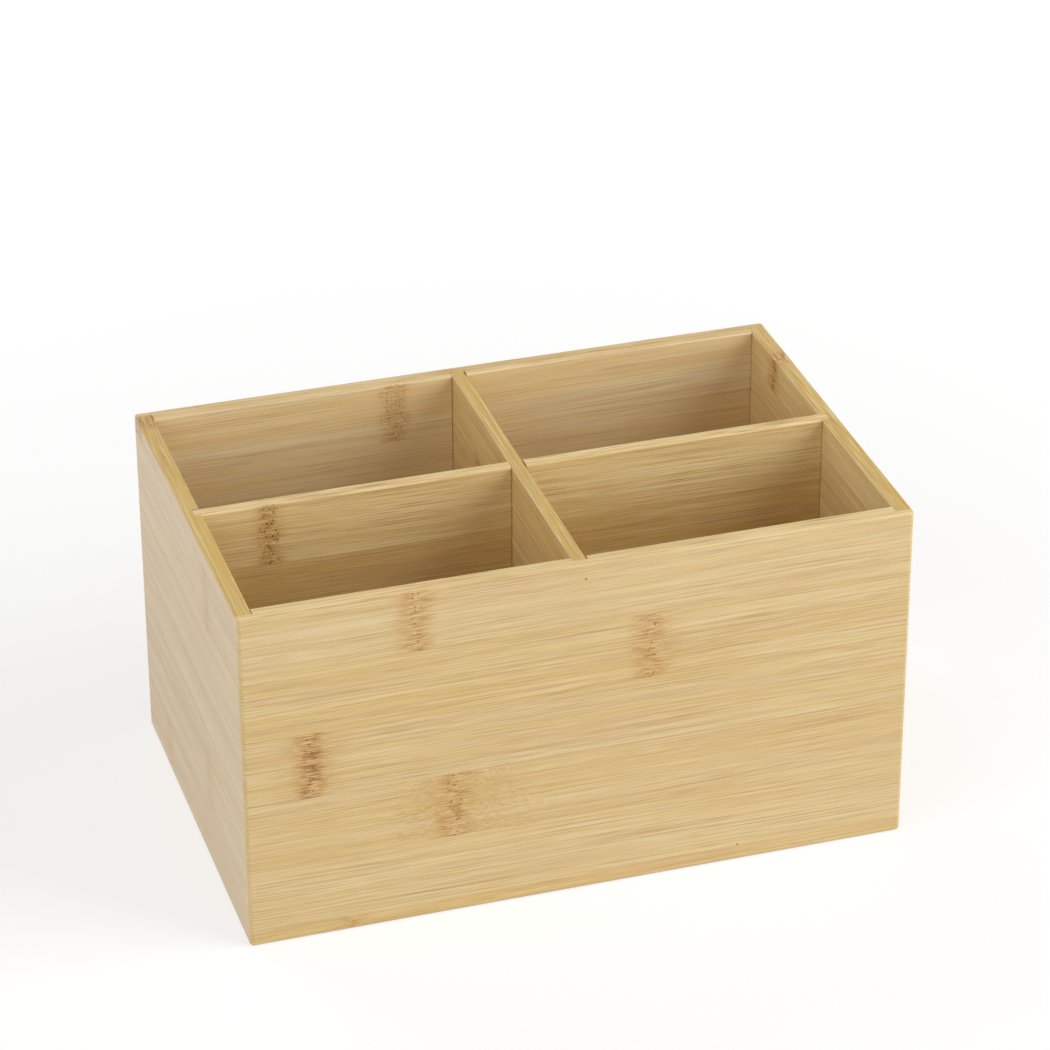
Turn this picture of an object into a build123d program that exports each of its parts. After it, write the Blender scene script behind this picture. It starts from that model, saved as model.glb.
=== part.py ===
"""Four-compartment utensil caddy, seven boards of laminated bamboo. Millimetres, +Z up.

The origin is on the table under the middle of the box. +X runs along the long
front and +Y runs from the front to the back.
"""

import os

from build123d import *

# Outside of the box
length = 220.0  # along the front
depth = 140.0  # front to back
height = 120.0  # table to rim

# Thickness of the boards
long_wall = 6.0  # front and back
end_wall = 5.5  # left and right
divider_wall = 4.6  # both dividers
base_wall = 4.6  # floor of the compartments

# Joinery
corner_lip = 2.4  # bamboo that the corner rabbets leave outside the end boards
housing_depth = 2.5  # how far the dividers and the base are let into the walls
base_rise = 4.0  # from the table to the underside of the base
glue_line = 0.05  # room on every glued face of a fit
lap_play = 0.4  # slack on the right of the cross divider, open at the rim

# Centre lines of the dividers
cross_divider_x = 0.0  # the one that runs front to back
long_divider_y = -0.9  # the one that runs left to right, a little forward of the middle

# Worked edges
outer_round = 1.4  # outside corners and feet of the box
rim_ease = 0.7  # both edges of every rim

# Faces that several boards share
front_y = -depth / 2
left_x = -length / 2
inner_front_y = front_y + long_wall
inner_left_x = left_x + end_wall
base_top = base_rise + base_wall
lap_z = (base_top + height) / 2
corner_round = min(outer_round, 0.9 * corner_lip)

# Boards that are let into two opposite walls reach this far from the middle
reach_x = -inner_left_x + housing_depth - glue_line
reach_y = -inner_front_y + housing_depth - glue_line

# The cross divider leans on the left side of its slots; the long divider fits closely
cross_slot_left = cross_divider_x - divider_wall / 2 - glue_line
cross_slot_width = glue_line + divider_wall + lap_play
long_slot_width = divider_wall + 2 * glue_line
base_groove_height = base_wall + 2 * glue_line


# Front board: rabbeted at both ends, so that its own face covers the end boards
with BuildPart() as front_panel:
    with BuildSketch(Plane.XY):
        with BuildLine():
            Polyline(
                (0, front_y),
                (-left_x, front_y),
                (-left_x, front_y + corner_lip),
                (-inner_left_x - glue_line, front_y + corner_lip),
                (-inner_left_x - glue_line, inner_front_y),
                (0, inner_front_y),
            )
            mirror(about=Plane.YZ)
        make_face()
    extrude(amount=height)

    # Groove for the base, run from rabbet to rabbet
    with BuildSketch(Plane.YZ):
        with Locations((inner_front_y, base_rise - glue_line)):
            Rectangle(housing_depth, base_groove_height, align=(Align.MAX, Align.MIN))
    extrude(amount=length / 2, both=True, mode=Mode.SUBTRACT)

    # Housing for the cross divider, open at the rim
    with BuildSketch(Plane.XY.offset(base_top)):
        with Locations((cross_slot_left, inner_front_y)):
            Rectangle(cross_slot_width, housing_depth, align=(Align.MIN, Align.MAX))
    extrude(amount=height - base_top, mode=Mode.SUBTRACT)

    # Outside corners and foot
    corners = front_panel.edges().filter_by(Axis.Z).group_by(Axis.Y)[0]
    foot = front_panel.faces().sort_by(Axis.Z)[0].edges()
    foot_front = foot.filter_by(Axis.X).group_by(Axis.Y)[0]
    foot_ends = foot.filter_by(Axis.Y).group_by(Axis.X)
    fillet(corners + foot_front + foot_ends[0] + foot_ends[-1], radius=corner_round)

    # Rim, outside all the way round both corners and inside between the joints
    rim = front_panel.faces().sort_by(Axis.Z)[-1].edges()
    rim_long = rim.filter_by(Axis.X).group_by(Axis.Y)
    rim_ends = rim.filter_by(Axis.Y).group_by(Axis.X)
    rim_corners = rim.filter_by(GeomType.CIRCLE)
    fillet(rim_long[0] + rim_corners + rim_ends[0] + rim_ends[-1] + rim_long[-1], radius=rim_ease)

# Back board: the front board turned round, with its slack still on the right
with BuildPart() as back_panel:
    mirror(front_panel.part, about=Plane.XZ)

# Left board: plain ends that lie in the rabbets of the front and back
with BuildPart() as left_panel:
    with BuildSketch(Plane.XY):
        with Locations((left_x, 0)):
            end_length = depth - 2 * (corner_lip + glue_line)
            Rectangle(end_wall, end_length, align=(Align.MIN, Align.CENTER))
    extrude(amount=height)

    # Groove for the base, run from end to end
    with BuildSketch(Plane.XZ):
        with Locations((inner_left_x, base_rise - glue_line)):
            Rectangle(housing_depth, base_groove_height, align=(Align.MAX, Align.MIN))
    extrude(amount=depth / 2, both=True, mode=Mode.SUBTRACT)

    # Housing for the long divider, open at the rim
    with BuildSketch(Plane.XY.offset(base_top)):
        with Locations((inner_left_x, long_divider_y)):
            Rectangle(housing_depth, long_slot_width, align=(Align.MAX, Align.CENTER))
    extrude(amount=height - base_top, mode=Mode.SUBTRACT)

    # Foot, then both edges of the rim
    foot = left_panel.faces().sort_by(Axis.Z)[0].edges()
    fillet(foot.filter_by(Axis.Y).group_by(Axis.X)[0], radius=corner_round)
    rim_long = left_panel.faces().sort_by(Axis.Z)[-1].edges().filter_by(Axis.Y).group_by(Axis.X)
    fillet(rim_long[0] + rim_long[-1], radius=rim_ease)

# Right board: the left board turned round
with BuildPart() as right_panel:
    mirror(left_panel.part, about=Plane.YZ)

# Base: let into all four walls
with BuildPart() as base_panel:
    with BuildSketch(Plane.XY.offset(base_rise)):
        Rectangle(2 * reach_x, 2 * reach_y)
    extrude(amount=base_wall)

# Long divider: slotted from the rim down to the middle for the cross divider
with BuildPart() as long_divider:
    with BuildSketch(Plane.XZ.offset(-long_divider_y)):
        with Locations((0, height)):
            board_height = height - base_top - glue_line
            Rectangle(2 * reach_x, board_height, align=(Align.CENTER, Align.MAX))
        with Locations((cross_slot_left, height)):
            Rectangle(
                cross_slot_width,
                height - lap_z,
                align=(Align.MIN, Align.MAX),
                mode=Mode.SUBTRACT,
            )
    extrude(amount=divider_wall / 2, both=True)
    rim = long_divider.faces().group_by(Axis.Z)[-1].edges()
    fillet(rim.filter_by(Axis.X), radius=rim_ease)

# Cross divider: slotted from its lower edge up to the middle, whole at the rim
with BuildPart() as cross_divider:
    with BuildSketch(Plane.YZ.offset(cross_divider_x)):
        with Locations((0, height)):
            Rectangle(2 * reach_y, board_height, align=(Align.CENTER, Align.MAX))
        with Locations((long_divider_y, base_top)):
            Rectangle(
                long_slot_width,
                lap_z + glue_line - base_top,
                align=(Align.CENTER, Align.MIN),
                mode=Mode.SUBTRACT,
            )
    extrude(amount=divider_wall / 2, both=True)
    rim = cross_divider.faces().sort_by(Axis.Z)[-1].edges()
    fillet(rim.filter_by(Axis.Y), radius=rim_ease)

front_panel.part.label = "front_panel"
back_panel.part.label = "back_panel"
left_panel.part.label = "left_panel"
right_panel.part.label = "right_panel"
base_panel.part.label = "base_panel"
long_divider.part.label = "long_divider"
cross_divider.part.label = "cross_divider"

os.makedirs("parts", exist_ok=True)
export_step(front_panel.part, "parts/front_panel.step")
export_step(back_panel.part, "parts/back_panel.step")
export_step(left_panel.part, "parts/left_panel.step")
export_step(right_panel.part, "parts/right_panel.step")
export_step(base_panel.part, "parts/base_panel.step")
export_step(long_divider.part, "parts/long_divider.step")
export_step(cross_divider.part, "parts/cross_divider.step")
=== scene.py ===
# %% [markdown]
# # A utensil caddy of laminated bamboo
#
# The real caddy is a glued box of seven boards: four walls, a base and two dividers that
# cross in a halved joint. Every board is planed flat, so its shape is simple, and the
# imported frame already holds it at its real size. What makes the thing look like itself is
# the bamboo: strips glued edge to edge, long fibres, and the brown bands where a stalk had
# its joints. Almost all of this lesson is about that.
#
# The first step loads the boards and prints the size of each. The scene is in metres, but
# what lies on a board is given in millimetres, as a maker measures it.

# %% Load the boards
import math
from types import SimpleNamespace

import bpy
from mathutils import Matrix, Vector


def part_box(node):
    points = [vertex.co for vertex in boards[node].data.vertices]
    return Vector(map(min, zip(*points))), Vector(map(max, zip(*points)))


mm_per_metre = 1000.0

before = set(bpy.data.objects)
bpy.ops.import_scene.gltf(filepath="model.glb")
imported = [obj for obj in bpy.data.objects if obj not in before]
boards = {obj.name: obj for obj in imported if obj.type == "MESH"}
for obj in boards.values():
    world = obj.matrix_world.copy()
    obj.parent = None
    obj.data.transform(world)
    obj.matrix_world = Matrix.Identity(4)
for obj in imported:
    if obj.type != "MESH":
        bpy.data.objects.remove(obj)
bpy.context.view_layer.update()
for name in sorted(boards):
    low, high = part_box(name)
    size = [round(mm_per_metre * side, 1) for side in high - low]
    print(f"{name}: {size} mm")

# %% [markdown]
# ## The camera
#
# The picture was taken from the front and a little to the left, looking down. Seven corners
# of the box, marked in the picture, fix such a view: a pinhole camera was fitted to them,
# and its angles and distance are the values here. The camera could also be aimed with a
# Track To constraint, but a matrix made from three directions keeps the small roll exact.

# %% Set up the camera
photo_px = 1050
sensor_mm = 36.0
focal_px = 4188.5
azimuth = math.radians(-17.314)
elevation = math.radians(29.409)
roll = math.radians(-0.218)
camera_distance = 1.4085
clip_distance = 20.0
aim_right = 0.00257
aim_up = 0.08420

backward = Vector((
    math.sin(azimuth) * math.cos(elevation),
    -math.cos(azimuth) * math.cos(elevation),
    math.sin(elevation),
))
level_right = Vector((math.cos(azimuth), math.sin(azimuth), 0.0))
level_up = backward.cross(level_right)
right = level_right * math.cos(roll) + level_up * math.sin(roll)
up = level_up * math.cos(roll) - level_right * math.sin(roll)
aim = right * aim_right + up * aim_up

camera_data = bpy.data.cameras.new("photo_camera")
camera_data.sensor_width = sensor_mm
camera_data.lens = sensor_mm * focal_px / photo_px
camera_data.clip_end = clip_distance
camera = bpy.data.objects.new("photo_camera", camera_data)
facing = Matrix((right, up, backward)).transposed().to_4x4()
camera.matrix_world = Matrix.Translation(aim + backward * camera_distance) @ facing
bpy.context.scene.collection.objects.link(camera)
bpy.context.scene.camera = camera
print(f"lens {camera_data.lens:.1f} mm, {camera_distance:.2f} m from the caddy")

# %% [markdown]
# ## Short words for shader nodes
#
# A solid material like bamboo is a formula in space. Written out node by node it takes
# hundreds of lines, so the next cells give names to the few steps that repeat. `Signal`
# holds one output of one node, and arithmetic on it adds Math nodes, so that a formula in
# the script reads like a formula. The nodes it makes are ordinary ones and can be opened in
# the shader editor, where each is placed to the right of what feeds it.

# %% Turn arithmetic into Math nodes
column_width = 260
row_height = 40


class Signal:
    """One node's output. Arithmetic on it adds Math nodes to the same tree."""

    def __init__(self, socket):
        self.socket = socket

    def __add__(self, other):
        return calculate("ADD", self, other)

    def __sub__(self, other):
        return calculate("SUBTRACT", self, other)

    def __rsub__(self, other):
        return calculate("SUBTRACT", other, self)

    def __mul__(self, other):
        return calculate("MULTIPLY", self, other)

    def __truediv__(self, other):
        return calculate("DIVIDE", self, other)

    def __abs__(self):
        return calculate("ABSOLUTE", self)

    __radd__ = __add__


def plug(socket, value):
    """Feed a socket from a signal, or set it to a plain value."""
    if isinstance(value, Signal):
        socket.id_data.links.new(value.socket, socket)
        node, source = socket.node, value.socket.node
        node.location.x = max(node.location.x, source.location.x + column_width)
    else:
        socket.default_value = value


def add_node(tree, kind, **settings):
    """Add a node, with its settings, below those that are there."""
    node = tree.nodes.new("ShaderNode" + kind)
    for name, value in settings.items():
        setattr(node, name, value)
    node.location.y = -row_height * len(tree.nodes)
    return node


def tree_of(values):
    """The node tree of the first signal among these values."""
    return next(value.socket.id_data for value in values if isinstance(value, Signal))


def calculate(operation, *values):
    """Add a Math node and feed it these values."""
    node = add_node(tree_of(values), "Math", operation=operation)
    for socket, value in zip(node.inputs, values):
        plug(socket, value)
    return Signal(node.outputs[0])


# %% [markdown]
# A mask says where something shows: 1 where it does, 0 where it doesn't. Most masks here are
# ramps, smooth steps between two values of a measure. A Mix node then lays a colour over
# another where the mask is 1. It clamps its factor, so a sum that runs below 0 lays nothing
# and one above 1 covers all. It also keeps the sockets of every data type, which is why they
# are found by number: 4 and 5 are its two vectors, 6 and 7 its two colours.

# %% Mix by a mask
mix_sockets = {"VECTOR": (4, 5, 1), "RGBA": (6, 7, 2)}


def ramp(value, start, end):
    """0 below start, 1 above end, and a smooth rise between them. It falls if start > end."""
    node = add_node(tree_of([value]), "MapRange", interpolation_type="SMOOTHSTEP")
    rising = start < end
    plug(node.inputs["Value"], value)
    plug(node.inputs["From Min"], min(start, end))
    plug(node.inputs["From Max"], max(start, end))
    plug(node.inputs["To Min"], 0.0 if rising else 1.0)
    plug(node.inputs["To Max"], 1.0 if rising else 0.0)
    return Signal(node.outputs["Result"])


def mix(data_type, under, over, amount):
    """Two colours or two vectors mixed: the first where amount is 0, the second where it is 1."""
    node = add_node(tree_of([amount]), "Mix", data_type=data_type)
    first, second, result = mix_sockets[data_type]
    plug(node.inputs[0], amount)
    plug(node.inputs[first], under)
    plug(node.inputs[second], over)
    return Signal(node.outputs[result])


def paint(under, colour, amount):
    """Lay a colour over another where amount is 1."""
    return mix("RGBA", under, colour, amount)


def swatch(red, green, blue):
    """A colour as a paint chart gives it, from 0 to 255, made linear by the sRGB curve."""
    parts = [part / 255 for part in (red, green, blue)]
    linear = [p / 12.92 if p <= 0.04045 else ((p + 0.055) / 1.055) ** 2.4 for p in parts]
    return (*linear, 1.0)


# %% [markdown]
# Noise gives bamboo its grain. The Noise texture makes round blobs, so its place is first
# divided by the size that a blob should have along, across and through the board, which
# stretches them into fibres. A shift moves each noise to a part of space of its own, so that
# no two layers repeat each other. White Noise gives a whole slat one value, and Voronoi
# scatters the dots.

# %% Make noises of a given size
noise_gain = 4.0
shift_ratio = (1.0, 1.7, 2.3)


def split(vector):
    """The three parts of a vector."""
    node = add_node(tree_of([vector]), "SeparateXYZ")
    plug(node.inputs[0], vector)
    return [Signal(output) for output in node.outputs]


def join(*parts):
    """A vector of three parts."""
    node = add_node(tree_of(parts), "CombineXYZ")
    for socket, part in zip(node.inputs, parts):
        plug(socket, part)
    return Signal(node.outputs[0])


def stretch(place, sizes, shift):
    """Divide a place by these sizes, and shift it."""
    node = add_node(tree_of([place]), "Mapping")
    plug(node.inputs["Vector"], place)
    plug(node.inputs["Scale"], [1 / size for size in sizes])
    plug(node.inputs["Location"], [shift * ratio for ratio in shift_ratio])
    return Signal(node.outputs[0])


def noise(place, sizes, shift, detail=0.0):
    """Soft noise about 0, mostly from -1 to 1. Its blobs are as long, wide and deep as sizes, in mm."""
    node = add_node(tree_of([place]), "TexNoise")
    plug(node.inputs["Vector"], stretch(place, sizes, shift))
    plug(node.inputs["Scale"], 1.0)
    plug(node.inputs["Detail"], detail)
    return (Signal(node.outputs["Fac"]) - 0.5) * noise_gain


def nearest_dot(place, spacing, shift):
    """Distance to the nearest of many scattered lines through the board, 1 for a spacing."""
    node = add_node(tree_of([place]), "TexVoronoi", feature="F1", voronoi_dimensions="2D")
    plug(node.inputs["Vector"], stretch(place, (*spacing, 1.0), shift))
    plug(node.inputs["Scale"], 1.0)
    return Signal(node.outputs["Distance"])


def chance(number):
    """A random value from 0 to 1 that stays the same for the same number."""
    node = add_node(tree_of([number]), "TexWhiteNoise", noise_dimensions="1D")
    plug(node.inputs["W"], number)
    return Signal(node.outputs["Value"])


# %% [markdown]
# ## Where a point lies in its board
#
# The maker planes a stalk into flat slats, about 23 mm wide, and glues them edge to edge. So
# a board has three directions of its own: along the fibres, across the slats and through the
# thickness. The same bamboo formula serves all seven boards once each point is given in
# those three, in millimetres. A UV map could do it too, but it would break the fibres at
# every edge. Points in space carry them round the corner, as sawn bamboo does.

# %% Turn a place in the caddy into a place in a board
wall_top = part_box("front_panel")[1].z
left_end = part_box("left_panel")[0].x
back_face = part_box("back_panel")[1].y


def place_in_board(tree, grain):
    """Along, across and through a board, in mm. Across starts at the rim, or the back of the base."""
    coordinates = add_node(tree, "TexCoord")
    x, y, z = split(Signal(coordinates.outputs["Object"]))
    from_left = (x - left_end) * mm_per_metre
    from_back = (back_face - y) * mm_per_metre
    below_rim = (wall_top - z) * mm_per_metre
    if grain == "left to right":
        return join(from_left, below_rim, from_back)
    if grain == "front to back":
        return join(from_back, below_rim, from_left)
    return join(from_left, from_back, below_rim)


print(f"the boards' places count from x {left_end:.3f}, y {back_face:.3f}, z {wall_top:.3f} m")

# %% [markdown]
# ## Slats
#
# Each slat comes from another part of a stalk, so it has its own shade and its own fibres,
# and the eye finds the glue lines by that more than by the lines themselves. Three random
# values per slat do it. One moves the slat's place far away in the noise, which gives it new
# fibres, and one sets its shade. The third makes its fibres lean a little to its edges, as
# they do because a stalk tapers. A board's seed picks these values, and the seeds further
# down were chosen for slats as light and as dark as the picture's.

# %% Number the slats
slat_width = 23.4
glue_line = 0.22
fibre_lean = 0.02
move_along = 900.0
move_through = 300.0


def slats(place, first_seam, seed):
    """The slat's number, its own place in the noise, its shade about 0 and its glue lines."""
    along, across, through = split(place)
    position = (across - first_seam) / slat_width + 1
    number = calculate("FLOOR", position)
    luck = chance(number + seed)
    shade = chance(number + seed + 0.5) - 0.5
    lean = (chance(number + seed + 0.25) - 0.5) * fibre_lean
    own_place = join(along + luck * move_along, across + along * lean, through + luck * move_through)
    from_middle = abs(calculate("FRACT", position) - 0.5)
    seam = ramp((0.5 - from_middle) * slat_width, glue_line, 0.4 * glue_line)
    return number, own_place, shade, seam


# %% [markdown]
# ## Stem joints
#
# Bamboo is hollow between its joints. At a joint the fibres knot together, and on a planed
# slat that shows as a brown band straight across it, about 10 mm long: strokes of golden
# brown along the fibres, a column of dark dots where fibres are cut through, and a tan haze
# that fades on both sides. In some joints the fibres curl round the dots, and near those
# with a long haze they ripple and break up into short dashes.
#
# Each slat has at most one joint here, so its place and looks are values of the slat, like
# its shade. A chain of Mix nodes picks them by the slat's number, three values at a time,
# because a vector carries three.

# %% Give each slat its own joint
nowhere = -9999.0  # so far off that no band reaches the board


def joint(start, end, strength, haze, curl=0.0):
    """A joint from start to end along the board, in mm, with the length of haze before and after it."""
    before, after = haze
    return ((start + end) / 2, (end - start) / 2, strength), (before, after, curl)


def of_slat(number, values_of, otherwise):
    """Three values that a slat has for itself, or the same three for every slat that isn't listed."""
    chosen = otherwise
    for slat, values in values_of.items():
        chosen = mix("VECTOR", chosen, values, calculate("COMPARE", number, slat, 0.5))
    return split(chosen)


# %% [markdown]
# The band and its haze start from one measure: how far a point lies past the end of the
# band, in millimetres, which is less than 0 inside it. Noise stretched along the fibres is
# added before the ramp, and that tears the band's edge into strokes. The dots are scattered
# lines through the board, so they stand in the same place on both of its faces.

# %% Shape the stem joints
band_drift = 0.8
band_fade = (3.0, -3.6)  # from where the band is gone to where it is full, past its end
band_tear = 2.2
haze_fade = (1.0, -0.3)  # the same for the haze, in shares of its length
haze_tear = 2.5
rippled_haze = (11.0, 17.0)  # no ripple where the haze is as short as the first
ripple_strength = 0.35
dotted_joint = (0.2, 0.5)  # no dots where the joint is as weak as the first
dot_column = 0.26  # share of the band, wider where the fibres curl
dot_spacing = (2.3, 2.2)
dot_radius = 0.23
curl_size = (1.2, 1.5, 2.5)
curl_line = 0.26


def stem_joint(place, own_place, number, joints):
    """Masks of the slat's joint: its band, haze, strokes, dots and curls, and the ripple near it."""
    bands = {slat: band for slat, (band, around) in joints.items()}
    arounds = {slat: around for slat, (band, around) in joints.items()}
    centre, half, strength = of_slat(number, bands, (nowhere, 1.0, 0.0))
    before, after, curl = of_slat(number, arounds, (1.0, 1.0, 0.0))

    # The band, which wanders a little on its way across the slat
    drift = noise(own_place, (9.0, 5.0, 9.0), 7.9) * band_drift
    off_centre = split(place)[0] - centre + drift
    past_end = abs(off_centre) - half
    tear = noise(own_place, (4.5, 0.36, 0.5), 5.3, detail=1.0)
    band = ramp(past_end + tear * band_tear, *band_fade) * strength
    strokes = ramp(tear, -0.45, 0.45)

    # The haze, and the ripple where the haze is long
    reach = before + (after - before) * ramp(off_centre, -0.5, 0.5)
    haze = ramp((past_end + tear * haze_tear) / reach, *haze_fade) * strength
    ripple = ramp(past_end / (reach + 3.0), 1.0, 0.0) * ramp(reach, *rippled_haze) * ripple_strength

    # The column of dots in the middle of the band, and the curls round them
    column_share = dot_column + curl * 0.5
    from_middle = abs(off_centre) / half
    column = ramp(from_middle / column_share, 1.3, 0.7) * ramp(strength, *dotted_joint)
    radius = dot_radius + tear * 0.06
    away = nearest_dot(own_place, dot_spacing, 3.1) / radius
    dots = ramp(away, 1.0, 0.35) * column * (0.75 + curl * 0.3)
    contour = abs(noise(own_place, curl_size, 17.3))
    curls = ramp(contour, curl_line, 0.3 * curl_line) * ramp(from_middle, 1.2, 0.7) * curl
    return SimpleNamespace(
        band=band, haze=haze, strokes=strokes, dots=dots, curls=curls, ripple=ripple
    )


# %% [markdown]
# ## Fibres
#
# Under the lacquer the bamboo is straw yellow with bands that lean to honey and to pink.
# Over them run straight fibres, 0.3 to 1.5 mm apart and 10 to 100 mm long, a little darker
# and browner than what lies between them. One noise can't have all these sizes, so each
# layer is its own noise, stretched along the grain.

# %% Build the fibres


def fibres(place):
    """Broad bands, bands of pink, strands, fibres, fine threads and sparse dark lines."""
    bend = noise(place, (110.0, 20.0, 20.0), 1.3) * 0.4 + noise(place, (40.0, 9.0, 9.0), 3.1) * 0.1
    along, across, through = split(place)
    bent = join(along, across + bend, through)
    clear = 1.0 + noise(bent, (40.0, 7.0, 7.0), 19.9) * 0.25
    long_thread = noise(bent, (48.0, 0.27, 0.27), 9.7)
    short_thread = noise(bent, (11.0, 0.27, 0.27), 27.1)
    return SimpleNamespace(
        broad=noise(bent, (200.0, 5.0, 5.0), 2.9),
        pink=noise(bent, (100.0, 2.8, 2.8), 4.7),
        strand=noise(bent, (100.0, 1.5, 1.5), 6.1),
        fibre=noise(bent, (65.0, 0.65, 0.65), 8.3),
        thread=(long_thread + short_thread * 0.55) * clear * 0.9,
        line=ramp(noise(bent, (34.0, 0.36, 0.36), 12.1), 0.35, 0.95) * clear,
    )


# %% [markdown]
# ## Small marks
#
# Two things are given one by one: pin-sized dark specks in the front board, and hairlines of
# painted shade in the inner corners of the caddy, where the fit between two boards leaves a thin gap in
# shade.

# %% Place specks and lines of painted shade
pin_radius = 0.45
hairline_reach = 0.5
facing_front = (-0.3, -0.7)


def pin_mark(place, pin_along, pin_across):
    """A dark speck, given along and across the board."""
    along, across, _ = split(place)
    off_along, off_across = along - pin_along, across - pin_across
    away = calculate("SQRT", off_along * off_along + off_across * off_across)
    return ramp(away, pin_radius, 0.5 * pin_radius)


def gap_shade_line(place, normal_y, corner):
    """A hairline of painted shade down the front of a board, where a thin gap lies in shade, given
    along it.
    """
    off_corner = abs(split(place)[0] - corner)
    hairline = ramp(off_corner, hairline_reach, 0.25 * hairline_reach)
    return hairline * ramp(normal_y, *facing_front)


# %% [markdown]
# ## The colour of a board
#
# The colours are mixed from named swatches, listed here as on a stain chart: the ground of
# the bamboo first, then its fibres, then the stem joints, then what the saw and the glue
# left, and last the painted shade of the gaps in the inner corners.

# %% Name the colours
pale_straw = swatch(234, 217, 176)
warm_straw = swatch(234, 211, 156)
straw = swatch(223, 200, 153)
beige = swatch(222, 198, 153)
honey = swatch(215, 182, 112)
# Painted shade: the darker, greyer end of the left board's ground
shaded_honey = swatch(195, 167, 120)
deep_honey = swatch(208, 165, 86)
bright_honey = swatch(224, 178, 92)
blush = swatch(212, 174, 130)

fibre_brown = swatch(176, 136, 80)
thread_brown = swatch(174, 138, 84)

joint_gold = swatch(202, 150, 72)
joint_brown = swatch(154, 106, 56)
haze_tan = swatch(192, 152, 92)
dot_brown = swatch(100, 60, 18)

pale_rim = swatch(232, 206, 146)
tan_rim = swatch(220, 190, 134)
golden_rim = swatch(206, 171, 83)
rim_orange = swatch(200, 148, 68)
glue_amber = swatch(184, 142, 84)
# Painted shade: the dark of the thin gaps in the inner corners
gap_shade_brown = swatch(112, 78, 36)

# %% [markdown]
# Each coat is a short function that lays a few colours over the one it is given. The
# amounts are the part worth playing with: a number by itself is how much of a colour lies
# everywhere, and a number beside a layer's name is how far that layer makes it vary.

# %% Paint the ground and its fibres


def paint_ground(ground, rim, layers, shade, on_rim):
    """The slat's shade between the two colours of the ground, under a rim of its own colour."""
    dark, light = ground
    colour = paint(dark, light, 0.5 + layers.broad * 0.2 + shade * 0.6 + layers.strand * 0.15)
    colour = paint(colour, blush, layers.pink * 0.42 - shade * 0.1)
    colour = paint(colour, rim, on_rim * (0.85 + layers.strand * 0.2))
    return paint(colour, rim_orange, on_rim * (layers.pink * 0.3 + layers.fibre * 0.2))


def paint_fibres(colour, layers, contrast, ripple, dash):
    """Brown fibres and dashes, then fine dark threads with pale ones between them."""
    brown = 0.05 + layers.strand * 0.03 + layers.fibre * 0.03 + dash * 0.14
    dark_threads = 0.05 + layers.thread * 0.42 + layers.line * 0.05
    pale_threads = ramp(layers.thread, -0.3, -1.0)
    colour = paint(colour, fibre_brown, brown)
    colour = paint(colour, thread_brown, dark_threads * contrast)
    return paint(colour, pale_straw, pale_threads * contrast * (0.34 - ripple))


# %% [markdown]
# A joint is never one brown: its strokes are darker in some patches and golden in others,
# with pale wood in the gaps between them.

# %% Paint the stem joints


def paint_joint(colour, marks, layers, patch, shown, on_rim):
    """The tan haze, the brown strokes of the band with pale gaps, and the dots and curls."""
    haze = marks.haze * shown * (0.14 + marks.strokes * 0.75 + layers.thread * 0.4)
    brown = paint(joint_gold, joint_brown, marks.band * 0.85 + patch * 0.3 + marks.strokes * 0.3 - 0.35)
    strokes = marks.band * shown * (0.62 + patch * 0.28 + marks.strokes * 0.75)
    gaps = marks.band * ramp(marks.strokes, 0.3, 0.0) * 0.4
    dots = (marks.curls * 0.45 + marks.dots) * (1.0 - on_rim) * 0.7
    colour = paint(colour, haze_tan, haze)
    colour = paint(colour, brown, strokes)
    colour = paint(colour, pale_straw, gaps)
    return paint(colour, dot_brown, dots)


# %% [markdown]
# ## The lacquer
#
# The lacquer is a clear satin. At a low angle a wall mirrors the white table softly, which
# is why the end wall looks pale, and a bump of a few hundredths of a millimetre breaks that
# sheen along the fibres. Faces that look up are duller, as the sawn rim soaks up more lacquer.

# %% Lacquer a board
lacquer_roughness = 0.32
rim_dulling = 0.2
looking_up = (0.02, 0.3)
bump_strength = 0.35
bump_depth = 0.00006


def lacquer(surface, colour, layers, normal_z):
    """Feed the surface its colour, its sheen and the bump of its fibres."""
    dulling = ramp(normal_z, *looking_up) * rim_dulling
    bump = add_node(surface.id_data, "Bump")
    plug(bump.inputs["Strength"], bump_strength)
    plug(bump.inputs["Distance"], bump_depth)
    plug(bump.inputs["Height"], layers.fibre * 0.3 + layers.thread * 0.3 - layers.line * 0.5)
    plug(surface.inputs["Base Color"], colour)
    plug(
        surface.inputs["Roughness"],
        lacquer_roughness + layers.thread * 0.03 + layers.line * 0.06 + dulling,
    )
    plug(surface.inputs["Normal"], Signal(bump.outputs["Normal"]))


# %% [markdown]
# ## One material per board
#
# All seven boards share the formula and the lacquer. They differ in the way the grain
# runs, where the first glue line lies, their two ground colours, the colour of their edge
# on the rim, how clearly the fibres stand out, and their stem joints and marks, so one
# function makes them all. Near a long haze the place of each fibre is pushed about before
# the noises read it, and so the fibres ripple there.

# %% Make a bamboo board
sawn_edge = (0.55, 0.92)
rim_contrast = 0.6
dash_strength = 3.6
seam_darkness = 0.25
pin_darkness = 0.8


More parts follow.
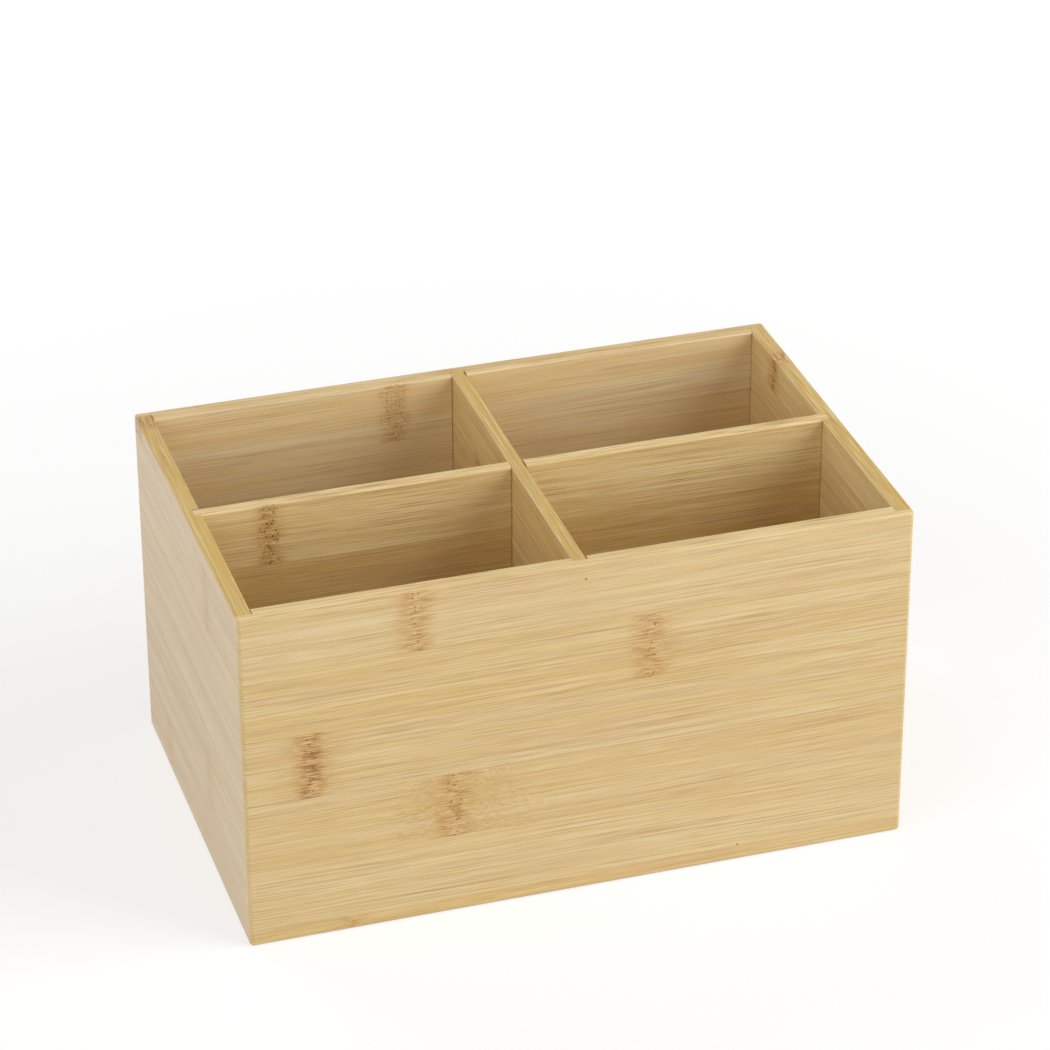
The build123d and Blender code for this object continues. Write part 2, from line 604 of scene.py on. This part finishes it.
def bamboo(
    name, grain, first_seam, seed, ground, rim, joints,
    fibre_contrast=1.0, joints_on_rim=0.2, pins=(), corners=(),
):
    """A material for one board. Its ground is a darker and a lighter colour."""
    material = bpy.data.materials.new(name)
    material.use_nodes = True
    tree = material.node_tree
    place = place_in_board(tree, grain)
    number, own_place, shade, seam = slats(place, first_seam, seed)
    marks = stem_joint(place, own_place, number, joints)

    geometry = add_node(tree, "NewGeometry")
    _, normal_y, normal_z = split(Signal(geometry.outputs["Normal"]))
    on_rim = ramp(normal_z, *sawn_edge)
    shown = 1.0 - on_rim * (1.0 - joints_on_rim)

    push = noise(own_place, (2.6, 2.2, 3.5), 11.7) * marks.ripple
    along, across, through = split(own_place)
    rippled = join(along, across + push, through + push)
    layers = fibres(rippled)
    dash = noise(rippled, (3.0, 0.55, 1.0), 13.1) * marks.ripple * dash_strength
    patch = noise(rippled, (4.5, 2.0, 4.0), 15.7)

    colour = paint_ground(ground, rim, layers, shade, on_rim)
    contrast = fibre_contrast + on_rim * rim_contrast
    colour = paint_fibres(colour, layers, contrast, marks.ripple, dash)
    colour = paint(colour, glue_amber, seam * seam_darkness)
    colour = paint_joint(colour, marks, layers, patch, shown, on_rim)
    for pin_along, pin_across in pins:
        colour = paint(colour, dot_brown, pin_mark(place, pin_along, pin_across) * pin_darkness)
    # Hairlines of painted shade in the inner corners, where a thin gap lies in shade
    for corner, darkness in corners:
        colour = paint(colour, gap_shade_brown, gap_shade_line(place, normal_y, corner) * darkness)

    surface = tree.nodes["Principled BSDF"]
    lacquer(surface, colour, layers, normal_z)
    plug(tree.nodes["Material Output"].inputs["Surface"], Signal(surface.outputs[0]))
    return material


# %% [markdown]
# ## The seven boards
#
# The stem joints that the picture shows are where it shows them. The faces that it doesn't
# show get a few more, as far apart as they lie in a stalk, which is a hand's width or two.
# The end walls and the cross divider get a deeper, more golden colour on their edges at the
# rim than the long boards.
#
# Slats are counted from the rim, where slat 0 is the one above the first glue line. On the
# base they are counted from the back.

# %% Note the marks that are given one by one
# Dark specks on the front board, along and across
front_pins = [(110.9, 5.1), (163.0, 114.0)]

# Painted shade in the gaps where the cross divider and the right board meet the long boards: along, and
# how dark it is
corners = []
for board, darkness in (("cross_divider", 0.66), ("right_panel", 0.4)):
    corners.append((mm_per_metre * (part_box(board)[0].x - left_end), darkness))
    print(f"{board}: corner {corners[-1][0]:.1f} mm from the left end")

# %% List the boards
board_list = {
    "front_panel": dict(
        grain="left to right", first_seam=21.1, seed=2445.0,
        ground=(honey, straw), rim=pale_rim, pins=front_pins,
        joints={
            0: joint(50.5, 61.5, 0.50, haze=(5.0, 1.0)),
            1: joint(126.5, 138.5, 0.52, haze=(5.0, 10.0)),
            2: joint(16.0, 26.5, 0.78, haze=(11.0, 12.0), curl=0.25),
            3: joint(61.0, 74.0, 0.50, haze=(17.0, 28.0), curl=0.15),
            5: joint(29.0, 37.0, 0.35, haze=(6.0, 6.0)),
        },
    ),
    # Partly painted light: seed and ground make the top slat pale and the lower slats darker and more
    # golden, as light falls on the top of this inner wall
    "back_panel": dict(
        grain="left to right", first_seam=21.5, seed=2221.0, fibre_contrast=0.7,
        ground=(bright_honey, pale_straw), rim=tan_rim, corners=corners,
        joints={
            0: joint(83.0, 92.0, 0.3, haze=(4.0, 2.0), curl=1.0),
            2: joint(34.0, 43.0, 0.7, haze=(8.0, 6.0)),
            3: joint(117.0, 126.0, 0.8, haze=(14.0, 5.0), curl=0.3),
        },
    ),
    # Painted shade and painted reflection: a greyer ground and faint fibres for a wall that faces away
    # from the main lamp and mirrors the white at a low angle
    "left_panel": dict(
        grain="front to back", first_seam=4.9, seed=695.0, fibre_contrast=0.5,
        ground=(shaded_honey, beige), rim=golden_rim, joints_on_rim=1.0,
        joints={
            0: joint(-2.0, 13.0, 0.75, haze=(2.0, 2.0)),
            1: joint(93.0, 102.0, 0.35, haze=(6.0, 8.0)),
            4: joint(87.0, 95.0, 0.3, haze=(6.0, 8.0)),
            5: joint(28.0, 36.0, 0.3, haze=(8.0, 8.0)),
        },
    ),
    "right_panel": dict(
        grain="front to back", first_seam=12.4, seed=674.0,
        ground=(deep_honey, warm_straw), rim=golden_rim, joints_on_rim=1.0,
        joints={
            0: joint(23.0, 31.0, 0.85, haze=(6.0, 8.0)),
            2: joint(92.0, 101.0, 0.7, haze=(10.0, 5.0), curl=0.2),
            4: joint(56.0, 65.0, 0.7, haze=(5.0, 10.0)),
        },
    ),
    "base_panel": dict(
        grain="flat", first_seam=18.0, seed=59.0,
        ground=(honey, straw), rim=pale_rim, joints_on_rim=1.0,
        joints={
            1: joint(66.0, 74.0, 0.7, haze=(6.0, 10.0)),
            3: joint(146.0, 155.0, 0.8, haze=(6.0, 12.0), curl=0.2),
            4: joint(36.0, 44.0, 0.6, haze=(10.0, 5.0)),
        },
    ),
    # Partly painted light: the seed makes the top slat paler than those below it, as light falls on the
    # top of this face
    "long_divider": dict(
        grain="left to right", first_seam=22.0, seed=2543.0, fibre_contrast=1.2,
        ground=(deep_honey, warm_straw), rim=pale_rim, corners=corners,
        joints={
            0: joint(23.6, 30.3, 0.62, haze=(5.0, 5.0), curl=1.0),
            3: joint(86.0, 95.0, 0.7, haze=(12.0, 5.0), curl=0.2),
        },
    ),
    "cross_divider": dict(
        grain="front to back", first_seam=15.0, seed=5470.0,
        ground=(deep_honey, warm_straw), rim=golden_rim, joints_on_rim=0.4,
        joints={
            1: joint(32.0, 40.0, 0.5, haze=(10.0, 8.0)),
            3: joint(96.0, 105.0, 0.6, haze=(8.0, 10.0), curl=0.2),
        },
    ),
}

# %% Give each board its bamboo
for name, board in board_list.items():
    material = bamboo("bamboo_" + name, **board)
    boards[name].data.materials.clear()
    boards[name].data.materials.append(material)

# %% [markdown]
# ## The studio
#
# The picture has an even, soft light: a large softbox on the right, a weaker one on the left,
# and white all round. A lamp's share says how light it leaves a white card that faces it,
# where 1 leaves it white, so the shares that meet on a face should add up to about 1. A
# third, weak lamp keeps the back of the caddy from looking dull.

# %% Hang the softboxes


def softbox(name, from_azimuth, from_elevation, away, size, share):
    """A square lamp that looks at the middle of the caddy from that direction."""
    middle = Vector((0.0, 0.0, wall_top / 2))
    turn, rise = math.radians(from_azimuth), math.radians(from_elevation)
    direction = Vector((
        math.sin(turn) * math.cos(rise),
        -math.cos(turn) * math.cos(rise),
        math.sin(rise),
    ))
    lamp_data = bpy.data.lights.new(name, "AREA")
    lamp_data.size = size
    lamp_data.energy = share * (math.pi * away) ** 2
    lamp = bpy.data.objects.new(name, lamp_data)
    lamp.location = middle + direction * away
    lamp.rotation_euler = direction.to_track_quat("Z", "Y").to_euler()
    bpy.context.scene.collection.objects.link(lamp)
    print(f"{name}: {lamp_data.energy:.1f} W at {away} m")


softbox("right_softbox", from_azimuth=60.0, from_elevation=28.0, away=1.6, size=1.3, share=0.95)
softbox("left_softbox", from_azimuth=-60.0, from_elevation=28.0, away=1.6, size=1.3, share=0.46)
softbox("back_softbox", from_azimuth=205.0, from_elevation=35.0, away=1.6, size=1.0, share=0.25)

# %% [markdown]
# A dome of soft light fills the shadows. It gives a quarter of what a white card needs to
# look white, but what the camera and the reflections see of it is plain white all the same:
# a Light Path node tells the two apart.

# %% Raise the dome
white = (1.0, 1.0, 1.0, 1.0)
dome_share = 0.25


def is_seen_in(tree):
    """1 for the camera, reflections and glass, and 0 where a surface gathers soft light."""
    ray = add_node(tree, "LightPath")
    seen_by = calculate(
        "MAXIMUM", Signal(ray.outputs["Is Camera Ray"]), Signal(ray.outputs["Is Glossy Ray"])
    )
    return calculate("MAXIMUM", seen_by, Signal(ray.outputs["Is Transmission Ray"]))


world = bpy.data.worlds.new("white_dome")
bpy.context.scene.world = world
world.use_nodes = True
sky = world.node_tree
ambient = sky.nodes["Background"]
plug(ambient.inputs["Color"], white)
plug(ambient.inputs["Strength"], dome_share)
seen = add_node(sky, "Background")
plug(seen.inputs["Color"], white)
plug(seen.inputs["Strength"], 1.0)
choice = add_node(sky, "MixShader")
plug(choice.inputs[0], is_seen_in(sky))
plug(choice.inputs[1], Signal(ambient.outputs[0]))
plug(choice.inputs[2], Signal(seen.outputs[0]))
plug(sky.nodes["World Output"].inputs["Surface"], Signal(choice.outputs[0]))
print(f"dome: {dome_share} as light, {seen.inputs['Strength'].default_value:.2f} as seen")

# %% [markdown]
# ## The floor
#
# A lit white surface always renders a little grey, while the picture's ground is white. So
# the floor is matt white where it throws light back up at the walls, and for the camera and
# the reflections it is a greyer matt that also glows by what it lacks to reach white, which
# is more further out, where the lamps reach less. The caddy's soft shadow still falls on it,
# as lightly as on a white sweep in a studio.

# %% Lay the floor
floor_reach = 6.0
sheet = [(floor_reach * x, floor_reach * y, 0.0) for x, y in ((-1, -1), (1, -1), (1, 1), (-1, 1))]
floor_mesh = bpy.data.meshes.new("studio_floor")
floor_mesh.from_pydata(sheet, [], [(0, 1, 2, 3)])
floor = bpy.data.objects.new("studio_floor", floor_mesh)
bpy.context.scene.collection.objects.link(floor)

# %% Paint the floor
floor_bounce = (0.8, 0.8, 0.8, 1.0)
floor_matt = (0.42, 0.42, 0.42, 1.0)
near_edge, middle_edge, far_edge = 0.15, 1.0, 3.0
near_glow = 0.60
middle_glow = 0.20
far_glow = 0.12

floor_paint = bpy.data.materials.new("studio_floor")
floor_paint.use_nodes = True
tree = floor_paint.node_tree
tree.nodes.remove(tree.nodes["Principled BSDF"])
is_seen = is_seen_in(tree)
matt = add_node(tree, "BsdfDiffuse")
plug(matt.inputs["Color"], paint(floor_bounce, floor_matt, is_seen))
coordinates = add_node(tree, "TexCoord")
from_caddy = add_node(tree, "VectorMath", operation="LENGTH")
plug(from_caddy.inputs[0], Signal(coordinates.outputs["Object"]))
distance = Signal(from_caddy.outputs["Value"])
beside = ramp(distance, near_edge, middle_edge) * middle_glow
beyond = ramp(distance, middle_edge, far_edge) * far_glow
glow = add_node(tree, "Emission")
plug(glow.inputs["Strength"], is_seen * (beside + beyond + near_glow))
both = add_node(tree, "AddShader")
plug(both.inputs[0], Signal(matt.outputs[0]))
plug(both.inputs[1], Signal(glow.outputs[0]))
plug(tree.nodes["Material Output"].inputs["Surface"], Signal(both.outputs[0]))
floor.data.materials.append(floor_paint)
print(f"floor glow {near_glow} beside the caddy, {near_glow + middle_glow + far_glow:.2f} far away")

# %% [markdown]
# ## Finish
#
# The Standard view transform shows a colour as it was mixed.

# %% Show the colours as they were mixed
bpy.context.scene.view_settings.view_transform = "Standard"
